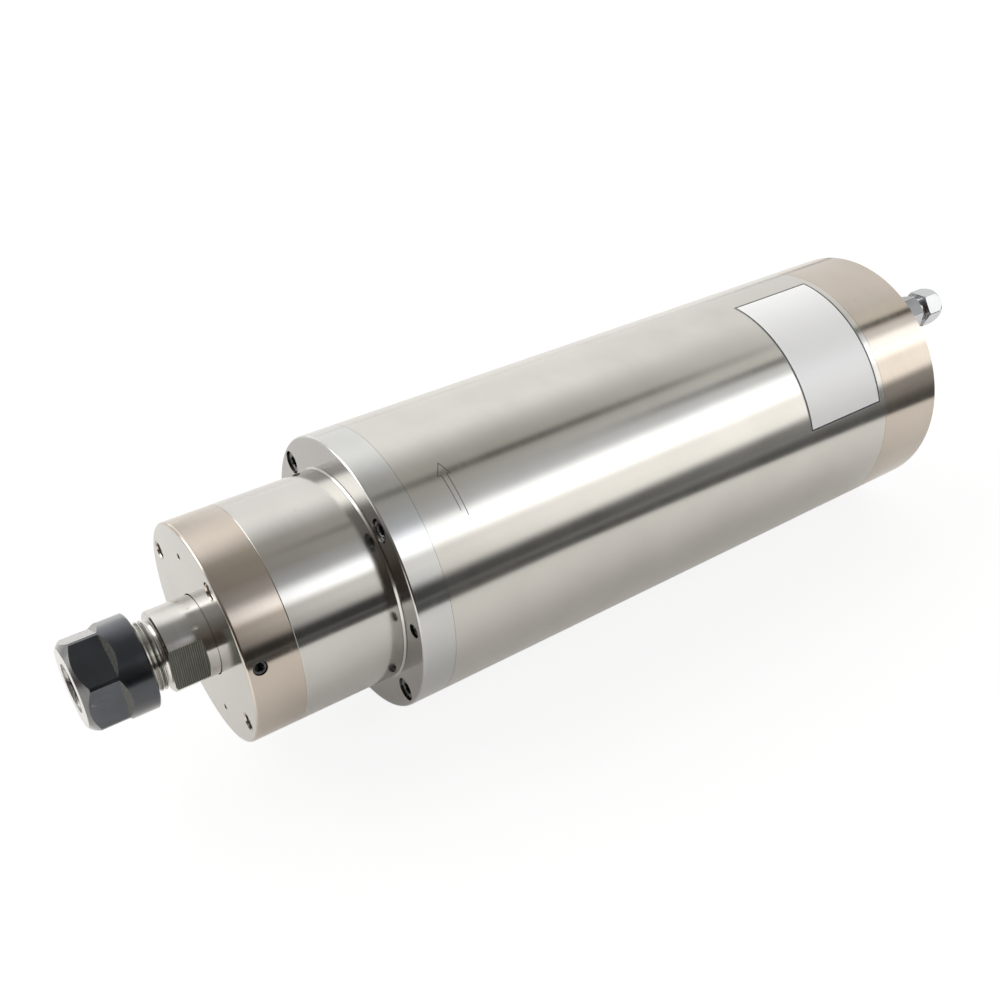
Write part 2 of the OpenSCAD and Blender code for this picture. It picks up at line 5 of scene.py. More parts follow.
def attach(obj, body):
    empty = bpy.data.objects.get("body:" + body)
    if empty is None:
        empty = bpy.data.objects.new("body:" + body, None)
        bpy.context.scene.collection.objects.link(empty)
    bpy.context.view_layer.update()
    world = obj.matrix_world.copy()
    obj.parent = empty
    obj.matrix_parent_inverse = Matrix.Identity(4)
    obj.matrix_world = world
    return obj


# The spindle lies along X with its nose to -X. Metres throughout.
# Angles round the axis are measured from +Y towards +Z.
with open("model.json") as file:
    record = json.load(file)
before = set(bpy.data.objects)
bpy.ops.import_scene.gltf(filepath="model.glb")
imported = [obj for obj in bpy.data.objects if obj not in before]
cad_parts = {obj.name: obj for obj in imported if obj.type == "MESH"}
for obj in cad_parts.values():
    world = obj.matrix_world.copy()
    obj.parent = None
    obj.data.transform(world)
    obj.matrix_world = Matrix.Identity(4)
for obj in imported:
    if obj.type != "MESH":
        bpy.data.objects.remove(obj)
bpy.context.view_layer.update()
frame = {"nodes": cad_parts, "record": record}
MM = 0.001


# ------------------------------------------------------------------ camera
cam_data = bpy.data.cameras.new("camera")
cam_data.sensor_width = 36.0
cam_data.lens = 42.86
cam_data.shift_x, cam_data.shift_y = -0.062, 0.0337
cam_data.clip_start, cam_data.clip_end = 0.01, 50.0
cam = bpy.data.objects.new("camera", cam_data)
bpy.context.scene.collection.objects.link(cam)
right, up, forward = Vector((0.8027, -0.5964, 0.0)), Vector((0.3514, 0.4730, 0.8080)), Vector((0.4818, 0.6486, -0.5893))
m = Matrix((right, up, -forward)).transposed().to_4x4()
m.translation = Vector((-140.7, -319.7, 266.5)) * MM
cam.matrix_world = m
bpy.context.scene.camera = cam


# ------------------------------------------------------------------ node helpers
class Tree:
    """Short calls for building a shader tree."""

    def __init__(self, tree):
        self.t = tree
        tree.nodes.clear()

    def node(self, kind, **settings):
        n = self.t.nodes.new(kind)
        for k, v in settings.items():
            setattr(n, k, v)
        return n

    def put(self, socket, value):
        if isinstance(value, bpy.types.NodeSocket):
            self.t.links.new(value, socket)
        elif value is not None:
            socket.default_value = value

    def math(self, op, a, b=None, c=None, clamp=False):
        n = self.node("ShaderNodeMath", operation=op, use_clamp=clamp)
        for s, v in zip(n.inputs, (a, b, c)):
            self.put(s, v)
        return n.outputs[0]

    def vec(self, x, y, z):
        n = self.node("ShaderNodeCombineXYZ")
        for s, v in zip(n.inputs, (x, y, z)):
            self.put(s, v)
        return n.outputs[0]

    def sep(self, v):
        n = self.node("ShaderNodeSeparateXYZ")
        self.put(n.inputs[0], v)
        return n.outputs

    def noise(self, v, scale=1.0, detail=2.0, rough=0.5, distort=0.0):
        n = self.node("ShaderNodeTexNoise")
        self.put(n.inputs["Vector"], v)
        for k, x in (("Scale", scale), ("Detail", detail), ("Roughness", rough), ("Distortion", distort)):
            self.put(n.inputs[k], x)
        return n.outputs[0]

    def ramp(self, fac, stops, interpolation="LINEAR"):
        n = self.node("ShaderNodeValToRGB")
        r = n.color_ramp
        r.interpolation = interpolation
        while len(r.elements) > 1:
            r.elements.remove(r.elements[-1])
        for i, (p, c) in enumerate(stops):
            e = r.elements[0] if i == 0 else r.elements.new(p)
            e.position = p
            e.color = (c, c, c, 1) if isinstance(c, (int, float)) else (*c, 1)
        self.put(n.inputs[0], fac)
        return n.outputs[0]

    def remap(self, v, a, b, c, d, clamp=True, smooth=False):
        n = self.node("ShaderNodeMapRange", clamp=clamp, interpolation_type="SMOOTHSTEP" if smooth else "LINEAR")
        for s, x in zip(n.inputs[:5], (v, a, b, c, d)):
            self.put(s, x)
        return n.outputs[0]

    def mix(self, fac, a, b, blend="MIX"):
        n = self.node("ShaderNodeMix", data_type="RGBA", blend_type=blend)
        self.put(n.inputs[0], fac)
        self.put(n.inputs[6], (*a, 1) if isinstance(a, tuple) and len(a) == 3 else a)
        self.put(n.inputs[7], (*b, 1) if isinstance(b, tuple) and len(b) == 3 else b)
        return n.outputs[2]


# ------------------------------------------------------------------ studio
WHITE, NEAR, CREAM = (1.0, 0.992, 0.975), (1.0, 0.995, 0.975), (1.0, 0.980, 0.945)
OLIVE, SAND, COOL = (1.0, 0.955, 0.865), (1.0, 0.985, 0.925), (0.98, 1.0, 1.035)


def lamps(wall, knee, ceiling, dark_at, notch, late, lit0, lit1, strip, fill, fade, gap, tint):
    """Light round the long axis: 0 is behind, 90 is overhead, 180 is in front. A bright wall behind, a dim ceiling with
    a narrow dark line, a strip lamp from lit0 to lit1, a fill panel below it, and a dark gap down to the floor."""
    fall = [(knee + d, ceiling + (wall - ceiling) * k, c) for d, k, c in ((8, 0.86, NEAR), (16, 0.56, NEAR), (24, 0.27, NEAR), (32, 0.07, tint))]
    fall = [q for q in fall if q[0] < dark_at - 5]
    return ([(0, wall * 0.90, WHITE), (26, wall * 0.95, WHITE), (knee, wall, WHITE)] + fall + [
        (dark_at - 4, ceiling, tint), (dark_at - 2, notch, tint), (dark_at + 2, notch, tint), (dark_at + 4, late, tint),
        (lit0 - 3, late + 0.1 * strip, COOL), (lit0 + 1, 0.42 * strip, COOL), (lit0 + 6, 0.85 * strip, COOL), (lit1 - 4, strip, COOL),
        (lit1, (strip + fill) / 2, WHITE), (lit1 + 3, fill * 0.95, CREAM), (156, fill, CREAM), (161, fill * (0.4 + 0.6 * fade), CREAM), (166.5, fill * fade, CREAM),
        (169.5, (fill * fade + gap) * 0.42, WHITE), (172.5, gap, WHITE), (190, gap, WHITE), (201, 0.5, WHITE), (215, 0.8, WHITE), (345, 0.8, WHITE)])


def studio():
    w = bpy.data.worlds.new("studio")
    bpy.context.scene.world = w
    w.use_nodes = True
    t = Tree(w.node_tree)
    x, y, z = t.sep(t.node("ShaderNodeTexCoord").outputs["Generated"])
    K = 3.0
    turn = t.math("FRACT", t.math("ADD", t.math("DIVIDE", t.math("ARCTAN2", z, y), 2 * math.pi), 1.0))

    def loop(stops):
        return t.ramp(turn, [(q / 360, tuple(v * k / K for k in c)) for q, v, c in stops])

    def ring(*p):
        return loop(lamps(*p))

    def grey(*p):
        return [(q, v, WHITE) for q, v in p]
    # right of the object: five rings of light, from the nose end to the rear end
    tip = loop(grey((0, 1.85), (34, 1.75), (44, 1.45), (54, 0.98), (62, 0.56), (70, 0.38), (94, 0.33), (120, 0.30), (136, 0.14), (150, 0.08), (182, 0.04), (192, 0.8), (340, 0.8), (346, 1.9)))
    nose = loop(grey((0, 0.90), (8, 0.78), (16, 0.72), (24, 0.78), (32, 0.95), (40, 1.12), (48, 1.30), (54, 1.48), (62, 1.58), (68, 1.45), (75, 0.95), (82, 0.42), (90, 0.30), (102, 0.25), (118, 0.20), (126, 0.17))
                + [(134, 0.15, (1, 0.88, 0.77)), (142, 0.135, (1, 0.79, 0.67)), (150, 0.13, (1, 0.62, 0.54)), (155, 0.03, WHITE), (183, 0.03, WHITE), (192, 0.7, WHITE), (345, 0.8, WHITE), (352, 1.12, WHITE)])
    front = ring(1.24, 47, 0.40, 104, 0.38, 0.34, 128, 145, 2.2, 0.84, 0.66, 0.03, OLIVE)
    middle = ring(1.22, 52, 0.50, 94, 0.04, 0.53, 123.5, 145.5, 2.5, 1.45, 0.95, 0.12, SAND)
    rear = ring(1.05, 66, 0.92, 110, 0.03, 0.82, 120.5, 144.5, 2.4, 1.66, 0.97, 0.40, SAND)
    right = t.mix(t.remap(x, 0.150, 0.172, 0.0, 1.0), tip, nose)
    right = t.mix(t.remap(x, 0.192, 0.25, 0.0, 1.0), right, front)
    right = t.mix(t.remap(x, 0.27, 0.49, 0.0, 1.0), right, middle)
    right = t.mix(t.remap(x, 0.52, 0.72, 0.0, 1.0), right, rear)
    # left of the object: a softbox behind and above, and the dark side of the room towards the front
    az = t.math("DEGREES", t.math("ARCTAN2", y, t.math("MULTIPLY", x, -1.0)))
    el = t.math("DEGREES", t.math("ARCSINE", z))

    def rise(el_stops):
        return t.ramp(t.remap(el, -90.0, 90.0, 0.0, 1.0), [((e + 90) / 180, tuple(v / K for v in c)) for e, c in el_stops])
    dark = rise([(-90, (0.30, 0.28, 0.26)), (-12, (0.26, 0.235, 0.21)), (0, (0.09, 0.072, 0.060)), (20, (0.085, 0.068, 0.057)), (27, (0.13, 0.105, 0.090)), (37, (0.19, 0.165, 0.145)),
                 (50, (0.23, 0.22, 0.21)), (62, (0.30, 0.29, 0.28)), (75, (0.42, 0.41, 0.40)), (90, (0.45, 0.44, 0.43))])
    back = rise([(-90, (0.9, 0.89, 0.87)), (12, (0.86, 0.85, 0.83)), (58, (0.80, 0.79, 0.78)), (70, (0.42, 0.41, 0.40)), (90, (0.42, 0.41, 0.40))])
    left = t.mix(t.remap(az, -8, 26, 0.0, 1.0, smooth=True), dark, back)
    low_edge = t.remap(t.math("SUBTRACT", el, t.remap(az, 52, 64, 12.0, 24.0)), -5.0, 7.0, 0.0, 1.0, smooth=True)
    box = t.math("MULTIPLY", t.remap(az, 15, 31, 0.0, 1.0, smooth=True), t.remap(az, 62, 80, 1.0, 0.0, smooth=True))
    box = t.math("MULTIPLY", t.math("MULTIPLY", box, low_edge), t.remap(el, 58, 68, 1.0, 0.0, smooth=True))
    left = t.mix(box, left, (3.2 / K, 3.2 / K, 3.16 / K))
    around = t.mix(t.remap(x, -0.14, 0.04, 0.0, 1.0, smooth=True), left, right)
    bg = t.node("ShaderNodeBackground")
    t.put(bg.inputs[0], around)
    t.put(bg.inputs[1], K)
    plain = t.node("ShaderNodeBackground")
    t.put(plain.inputs[0], (1, 1, 1, 1))
    t.put(plain.inputs[1], 1.02)
    pick = t.node("ShaderNodeMixShader")
    t.put(pick.inputs[0], t.node("ShaderNodeLightPath").outputs["Is Camera Ray"])
    t.put(pick.inputs[1], bg.outputs[0])
    t.put(pick.inputs[2], plain.outputs[0])
    t.put(t.node("ShaderNodeOutputWorld").inputs[0], pick.outputs[0])

    mesh = bpy.data.meshes.new("floor")
    x0, x1, y0, y1, zf = -4.0, 5.0, -3.0, 5.0, -0.0525
    mesh.from_pydata([(x0, y0, zf), (x1, y0, zf), (x1, y1, zf), (x0, y1, zf)], [], [(0, 1, 2, 3)])
    floor = bpy.data.objects.new("floor", mesh)
    bpy.context.scene.collection.objects.link(floor)
    mat = bpy.data.materials.new("floor")
    mat.use_nodes = True
    t = Tree(mat.node_tree)
    # The object reflects a white sheet that ends a little way in front of it; the eye sees one plain pale floor.
    x, y, z = t.sep(t.node("ShaderNodeTexCoord").outputs["Object"])
    d1 = t.math("ADD", y, 0.41)
    d2 = t.math("ADD", t.math("MULTIPLY", t.math("SUBTRACT", x, 0.27), -0.819), t.math("MULTIPLY", d1, 0.573))
    sheet = t.remap(t.math("MINIMUM", d1, d2), -0.01, 0.02, 0.0, 1.0, smooth=True)
    low = t.node("ShaderNodeBsdfPrincipled")
    t.put(low.inputs["Base Color"], t.mix(sheet, (0.03, 0.03, 0.028), (0.86, 0.85, 0.835)))
    low.inputs["Emission Color"].default_value = (1, 0.98, 0.95, 1)
    # Painted light: the sheet glows a little all over and more in a pool to the left front of the flange; the dark
    # floor far off glows faintly.
    far = t.math("MAXIMUM", t.remap(x, 0.45, 0.95, 0.0, 0.19), t.remap(y, -0.9, -2.0, 0.0, 0.12))
    lit = t.math("MULTIPLY", t.remap(x, -0.055, -0.115, 0.0, 0.40, smooth=True), t.remap(y, 0.0, -0.06, 0.0, 1.0, smooth=True))
    lit = t.math("ADD", t.math("ADD", lit, 0.20), t.remap(x, 0.15, 0.4, 0.0, 0.05))
    t.put(low.inputs["Emission Strength"], t.math("ADD", t.math("MULTIPLY", sheet, lit), t.math("MULTIPLY", t.math("SUBTRACT", 1.0, sheet), far)))
    low.inputs["Roughness"].default_value = 0.7
    low.inputs["Specular IOR Level"].default_value = 0.2
    seen = t.node("ShaderNodeBsdfPrincipled")
    seen.inputs["Base Color"].default_value = (0.18, 0.18, 0.18, 1)
    seen.inputs["Roughness"].default_value = 0.7
    seen.inputs["Specular IOR Level"].default_value = 0.2
    seen.inputs["Emission Color"].default_value = (1, 1, 1, 1)
    seen.inputs["Emission Strength"].default_value = 0.86
    pick = t.node("ShaderNodeMixShader")
    t.put(pick.inputs[0], t.node("ShaderNodeLightPath").outputs["Is Camera Ray"])
    t.put(pick.inputs[1], low.outputs[0])
    t.put(pick.inputs[2], seen.outputs[0])
    t.put(t.node("ShaderNodeOutputMaterial").inputs[0], pick.outputs[0])
    mesh.materials.append(mat)
    v = bpy.context.scene.view_settings
    v.view_transform, v.look, v.exposure, v.gamma = "Standard", "None", 0.0, 1.0


studio()


# ------------------------------------------------------------------ materials
def shell(name):
    mat = bpy.data.materials.new(name)
    mat.use_nodes = True
    t = Tree(mat.node_tree)
    b = t.node("ShaderNodeBsdfPrincipled")
    t.put(t.node("ShaderNodeOutputMaterial").inputs[0], b.outputs[0])
    return mat, t, b


def polar(t):
    """Object coordinates in mm as x, y, z, and the distance from the long axis."""
    x, y, z = [t.math("MULTIPLY", s, 1000.0) for s in t.sep(t.node("ShaderNodeTexCoord").outputs["Object"])]
    r = t.math("SQRT", t.math("ADD", t.math("MULTIPLY", y, y), t.math("MULTIPLY", z, z)))
    return x, y, z, r


def scaled(t, color, k):
    """A colour, plain or from a socket, times a number from a socket."""
    out = t.node("ShaderNodeVectorMath", operation="SCALE")
    if isinstance(color, tuple):
        out.inputs[0].default_value = color
    else:
        t.put(out.inputs[0], color)
    t.put(out.inputs["Scale"], k)
    return out.outputs[0]


def inside(t, v, lo, hi, soft):
    return t.math("MULTIPLY", t.remap(v, lo - soft, lo + soft, 0.0, 1.0), t.remap(v, hi - soft, hi + soft, 1.0, 0.0))


def nicks(t, x, y, z, stretch, scale, rare):
    """Sparse short scratches, 0 to 1: thin ridges of one noise, cut to length by another."""
    a = t.noise(t.vec(t.math("MULTIPLY", x, stretch[0]), t.math("MULTIPLY", y, stretch[1]), t.math("MULTIPLY", z, stretch[2])), scale, 1.0, 0.5, 0.6)
    line = t.remap(t.math("ABSOLUTE", t.math("SUBTRACT", a, 0.5)), 0.0, 0.006, 1.0, 0.0)
    return t.math("MULTIPLY", line, t.remap(t.noise(t.vec(x, y, z), scale * 0.45, 2.0, 0.5), rare, rare + 0.05, 0.0, 1.0))


def bumped(t, b, height, strength, depth=0.00002):
    bm = t.node("ShaderNodeBump")
    bm.inputs["Strength"].default_value = strength
    bm.inputs["Distance"].default_value = depth
    t.put(bm.inputs["Height"], height)
    t.put(b.inputs["Normal"], bm.outputs[0])
    return bm


def turned(name, color, rough, aniso=0.0, tone=0.04, lines=0.02, bump=0.1, fine=1.0, blotch=0.012, tint=None, face=None, marks=0.0, special=None):
    """Turned or ground metal: fine rings round the long axis, in the colour, the roughness and the surface.
    face is the colour of the ends; special adds what one piece alone has."""
    mat, t, b = shell(name)
    x, y, z, r = polar(t)
    along = t.math("ADD", x, r)
    fine_v = t.vec(t.math("MULTIPLY", along, 3.2 * fine), t.math("MULTIPLY", y, 0.03), t.math("MULTIPLY", z, 0.03))
    wide_v = t.vec(t.math("MULTIPLY", along, 0.45 * fine), t.math("MULTIPLY", y, 0.02), t.math("MULTIPLY", z, 0.02))
    n1 = t.noise(fine_v, 1.0, 3.0, 0.6)
    n2 = t.noise(wide_v, 1.0, 3.0, 0.55)
    n3 = t.noise(t.vec(x, y, z), 0.045, 3.0, 0.5)
    ring = t.math("ADD", t.math("MULTIPLY", n1, 0.55), t.math("MULTIPLY", n2, 0.45))
    shade = t.remap(ring, 0.3, 0.7, 1.0 - lines, 1.0 + lines, clamp=False)
    shade = t.math("MULTIPLY", shade, t.remap(n3, 0.3, 0.7, 1.0 - tone, 1.0 + tone, clamp=False))
    base = tuple(color)
    if tint is not None:
        n4 = t.noise(t.vec(t.math("ADD", x, 31.0), y, z), 0.03, 2.0, 0.5)
        base = t.mix(t.remap(n4, 0.38, 0.62, 0.0, 1.0), tuple(color), tuple(tint))
    normal = t.sep(t.node("ShaderNodeTexCoord").outputs["Normal"])
    if face is not None:
        base = t.mix(t.remap(t.math("ABSOLUTE", normal[0]), 0.75, 0.95, 0.0, 1.0), base, tuple(face))
    rough_v = t.math("ADD", t.remap(ring, 0.3, 0.7, rough * 0.9, rough * 1.1, clamp=False), t.remap(n3, 0.3, 0.7, -blotch, blotch, clamp=False))
    height = ring
    if marks:
        scar = nicks(t, x, y, z, (1.0, 0.5, 0.5), 0.16, 0.60)
        shade = t.math("MULTIPLY", shade, t.remap(scar, 0.0, 1.0, 1.0, 1.0 - marks))
        rough_v = t.math("ADD", rough_v, t.math("MULTIPLY", scar, 0.1))
    if special is not None:
        base, shade, rough_v, height = special(t, b, (x, y, z, r), normal, base, shade, rough_v, height)
    t.put(b.inputs["Base Color"], scaled(t, base, shade))
    b.inputs["Metallic"].default_value = 1.0
    t.put(b.inputs["Roughness"], rough_v)
    if aniso:
        b.inputs["Anisotropic"].default_value = aniso
        b.inputs["Anisotropic Rotation"].default_value = 0.25
        t.put(b.inputs["Tangent"], t.node("ShaderNodeTangent", direction_type="RADIAL", axis="X").outputs[0])
    bumped(t, b, height, bump)
    return mat


def plain(name, color, rough, metallic=0.0, grain=0.03, scale=0.6, bump=0.2, spec=0.5, ior=1.5, coat=0.0):
    """Moulded, cast or plated surface with a fine even grain."""
    mat, t, b = shell(name)
    x, y, z, r = polar(t)
    n1 = t.noise(t.vec(x, y, z), scale * 4, 3.0, 0.6)
    n2 = t.noise(t.vec(x, y, z), scale * 0.3, 2.0, 0.5)
    k = t.remap(t.math("ADD", t.math("MULTIPLY", n1, 0.5), t.math("MULTIPLY", n2, 0.5)), 0.3, 0.7, 1 - grain, 1 + grain, clamp=False)
    t.put(b.inputs["Base Color"], scaled(t, tuple(color), k))
    b.inputs["Metallic"].default_value = metallic
    b.inputs["Specular IOR Level"].default_value = spec
    b.inputs["IOR"].default_value = ior
    b.inputs["Coat Weight"].default_value = coat
    t.put(b.inputs["Roughness"], t.remap(n2, 0.3, 0.7, rough * 0.9, rough * 1.1, clamp=False))
    bumped(t, b, n1, bump)
    return mat


def oxide(name, rough, ior):
    """Black oxide on steel: a dark skin that shines at a slant, with fine ground lines and a few bright scratches."""
    mat, t, b = shell(name)
    x, y, z, r = polar(t)
    normal = t.sep(t.node("ShaderNodeTexCoord").outputs["Normal"])
    n1 = t.noise(t.vec(t.math("MULTIPLY", x, 4.0), t.math("MULTIPLY", y, 0.25), t.math("MULTIPLY", z, 0.25)), 1.0, 3.0, 0.6)
    n2 = t.noise(t.vec(x, y, z), 0.16, 3.0, 0.55)
    n3 = t.noise(t.vec(x, y, z), 2.6, 3.0, 0.6)
    # the slanted run-outs of the flats are milled coarser and paler
    run = t.math("MULTIPLY", inside(t, x, -88.2, -86.0, 0.05), t.remap(normal[0], -0.8, -0.5, 1.0, 0.0))
    mill = t.noise(t.vec(t.math("MULTIPLY", x, 0.7), t.math("MULTIPLY", y, 3.0), t.math("MULTIPLY", z, 3.0)), 1.0, 2.0, 0.6)
    scar = t.math("MAXIMUM", nicks(t, x, y, z, (0.5, 1.4, 1.4), 0.22, 0.60), nicks(t, z, x, y, (1.5, 0.6, 1.0), 0.17, 0.61))
    k = t.math("MULTIPLY", t.remap(n2, 0.3, 0.7, 0.82, 1.22, clamp=False), t.remap(n3, 0.3, 0.7, 0.92, 1.08, clamp=False))
    base = t.mix(t.math("MULTIPLY", run, t.remap(mill, 0.35, 0.65, 0.2, 1.0)), (0.0125, 0.0135, 0.0165), (0.075, 0.078, 0.080))
    base = t.mix(t.math("MULTIPLY", scar, 0.5), base, (0.22, 0.22, 0.22))
    t.put(b.inputs["Base Color"], scaled(t, base, k))
    b.inputs["Metallic"].default_value = 0.0
    b.inputs["IOR"].default_value = ior
    ro = t.math("ADD", t.remap(n2, 0.3, 0.7, rough * 0.85, rough * 1.15, clamp=False), t.math("MULTIPLY", run, 0.12))
    t.put(b.inputs["Roughness"], t.math("ADD", ro, t.math("MULTIPLY", scar, 0.15)))
    h = t.math("ADD", t.math("MULTIPLY", n1, 0.5), t.math("SUBTRACT", t.math("MULTIPLY", mill, t.math("MULTIPLY", run, 3.0)), scar))
    bumped(t, b, h, 0.22)
    return mat


def nut_skin():
    """Blackened ground steel of the collet nut: paler cone, bare turned front ring, coarse run-outs behind the flats.
    """
    mat, t, b = shell("nut_skin")
    x, y, z, r = polar(t)
    normal = t.sep(t.node("ShaderNodeTexCoord").outputs["Normal"])
    rings = t.noise(t.vec(t.math("MULTIPLY", t.math("ADD", x, r), 4.5), t.math("MULTIPLY", y, 0.05), t.math("MULTIPLY", z, 0.05)), 1.0, 3.0, 0.6)
    n2 = t.noise(t.vec(x, y, z), 0.15, 3.0, 0.55)
    n3 = t.noise(t.vec(x, y, z), 2.4, 3.0, 0.6)
    faces_front = t.remap(normal[0], -0.90, -0.97, 0.0, 1.0)
    bare = t.math("MULTIPLY", faces_front, t.remap(r, 13.85, 13.95, 1.0, 0.0))
    cone = t.math("MULTIPLY", t.remap(x, -97.45, -97.35, 1.0, 0.0), t.math("MULTIPLY", t.remap(normal[0], -0.5, -0.6, 0.0, 1.0), t.math("SUBTRACT", 1.0, bare)))
    run = t.math("MULTIPLY", inside(t, x, -88.2, -86.0, 0.05), t.remap(normal[0], -0.5, -0.6, 0.0, 1.0))
    mouth = t.math("MULTIPLY", t.remap(r, 9.0, 9.2, 1.0, 0.0), t.remap(normal[0], -0.5, -0.2, 0.0, 1.0))
    edge = t.math("MULTIPLY", t.remap(t.math("ABSOLUTE", t.math("SUBTRACT", r, 13.9)), 0.05, 0.16, 1.0, 0.0), t.remap(x, -100.0, -99.8, 1.0, 0.0))
    scar = t.math("MAXIMUM", nicks(t, x, y, z, (0.5, 1.4, 1.4), 0.22, 0.64), nicks(t, z, x, y, (1.5, 0.6, 1.0), 0.17, 0.66))
    mill = t.noise(t.vec(t.math("MULTIPLY", x, 1.2), t.math("MULTIPLY", y, 5.0), t.math("MULTIPLY", z, 5.0)), 1.0, 3.0, 0.65)
    k = t.math("MULTIPLY", t.remap(n2, 0.3, 0.7, 0.88, 1.14, clamp=False), t.remap(t.math("ADD", t.math("MULTIPLY", rings, 0.6), t.math("MULTIPLY", n3, 0.4)), 0.3, 0.7, 0.90, 1.10, clamp=False))
    base = t.mix(cone, (0.046, 0.050, 0.060), (0.135, 0.135, 0.134))
    base = t.mix(run, base, t.mix(t.remap(mill, 0.42, 0.68, 0.0, 1.0), (0.016, 0.017, 0.015), (0.11, 0.11, 0.095)))
    base = t.mix(mouth, base, (0.62, 0.61, 0.59))
    base = t.mix(bare, base, (0.66, 0.655, 0.64))
    base = t.mix(t.math("MULTIPLY", edge, 0.55), base, (0.62, 0.62, 0.61))
    base = t.mix(t.math("MULTIPLY", scar, 0.32), base, (0.30, 0.30, 0.30))
    t.put(b.inputs["Base Color"], scaled(t, base, k))
    b.inputs["Metallic"].default_value = 1.0
    b.inputs["Coat Weight"].default_value = 1.0
    b.inputs["Coat Roughness"].default_value = 0.19
    b.inputs["Coat IOR"].default_value = 1.5
    ro = t.math("ADD", t.remap(n2, 0.3, 0.7, 0.20, 0.26, clamp=False), t.math("MULTIPLY", run, 0.14))
    t.put(b.inputs["Roughness"], t.math("ADD", ro, t.math("MULTIPLY", scar, 0.12)))
    h = t.math("ADD", rings, t.math("SUBTRACT", t.math("MULTIPLY", mill, t.math("MULTIPLY", run, 3.0)), scar))
    bumped(t, b, h, 0.16)
    return mat


def shaft_marks(t, b, p, normal, base, shade, rough, height):
    """Milled wrench flats darkened with painted shade, painted shade in the roots of the nose thread, and painted
    highlight lines along its crests.
    """
    x, y, z, r = p
    flat = t.math("MULTIPLY", t.remap(t.math("ABSOLUTE", normal[1]), 0.97, 0.99, 0.0, 1.0), inside(t, x, -71.3, -59.3, 0.05))
    wave = t.math("SINE", t.math("MULTIPLY", t.math("ADD", x, t.math("MULTIPLY", t.noise(t.vec(x, 0.0, t.math("MULTIPLY", z, 0.1)), 0.7, 2.0, 0.5), 0.35)), 2 * math.pi / 0.72))
    cut = t.noise(t.vec(t.math("MULTIPLY", x, 3.4), 0.0, t.math("MULTIPLY", z, 0.16)), 1.0, 3.0, 0.6)
    ridge = t.math("POWER", t.remap(wave, -1.0, 1.0, 0.0, 1.0), 3.0)
    # Painted shade: the flats are a much darker copy of the shaft steel, streaked with their milling lines.
    dark = t.mix(t.math("MULTIPLY", ridge, t.remap(cut, 0.35, 0.6, 0.25, 1.0)), (0.080, 0.083, 0.072), (0.215, 0.215, 0.195))
    base = t.mix(flat, base if not isinstance(base, tuple) else (*base, 1), dark)
    screw = t.remap(x, -72.9, -72.6, 1.0, 0.0)
    # Painted shade in the roots of the nose thread.
    root_shade = t.math("MULTIPLY", t.remap(r, 11.75, 12.42, 1.0, 0.0), screw)
    base = t.mix(root_shade, base, (0.15, 0.147, 0.125))
    # Painted highlight: fine bright lines along the crests of the nose thread.
    crest_highlight = t.math("SINE", t.math("MULTIPLY", t.math("ADD", x, t.math("MULTIPLY", r, 0.7)), 2 * math.pi / 0.47))
    crest_highlight = t.math("MULTIPLY", t.math("MULTIPLY", t.remap(crest_highlight, 0.0, 0.8, 0.0, 1.0), screw), t.remap(r, 12.49, 12.44, 0.0, 1.0))
    base = t.mix(t.math("MULTIPLY", crest_highlight, 0.75), base, (0.72, 0.71, 0.66))
    rough = t.math("ADD", rough, t.math("MULTIPLY", flat, 0.22))
    height = t.mix(flat, height, t.math("ADD", t.math("MULTIPLY", ridge, 3.0), cut))
    return base, shade, rough, height


def cap_marks(t, b, p, normal, base, shade, rough, height):
    """Painted shade on the walls of the four tapped holes of the nose cap, and short turning marks near its rim."""
    x, y, z, r = p
    hole_shade = None
    for k in range(4):
        a = math.radians(30.8 + 90 * k)
        dy, dz = t.math("SUBTRACT", y, 34.7 * math.cos(a)), t.math("SUBTRACT", z, 34.7 * math.sin(a))
        d = t.math("SQRT", t.math("ADD", t.math("MULTIPLY", dy, dy), t.math("MULTIPLY", dz, dz)))
        m = t.math("LESS_THAN", d, 3.05)
        hole_shade = m if hole_shade is None else t.math("MAXIMUM", hole_shade, m)
    hole_shade = t.math("MULTIPLY", hole_shade, t.math("LESS_THAN", t.math("ABSOLUTE", normal[0]), 0.5))
    # Painted shade: the walls of the tapped holes are darker.
    base = t.mix(hole_shade, base if not isinstance(base, tuple) else (*base, 1), (0.32, 0.30, 0.27))
    turn = t.math("MULTIPLY", t.math("ARCTAN2", z, y), 40.0)
    streak = t.noise(t.vec(t.math("MULTIPLY", x, 5.0), t.math("MULTIPLY", turn, 0.11), t.math("MULTIPLY", r, 0.5)), 1.0, 2.0, 0.5)
    streak = t.math("MULTIPLY", t.remap(streak, 0.60, 0.72, 0.0, 1.0), t.remap(r, 39.0, 40.3, 0.0, 1.0))
    rough = t.math("ADD", rough, t.math("MULTIPLY", streak, 0.07))
    height = t.math("ADD", height, t.math("MULTIPLY", streak, -0.8))
    return base, shade, rough, height


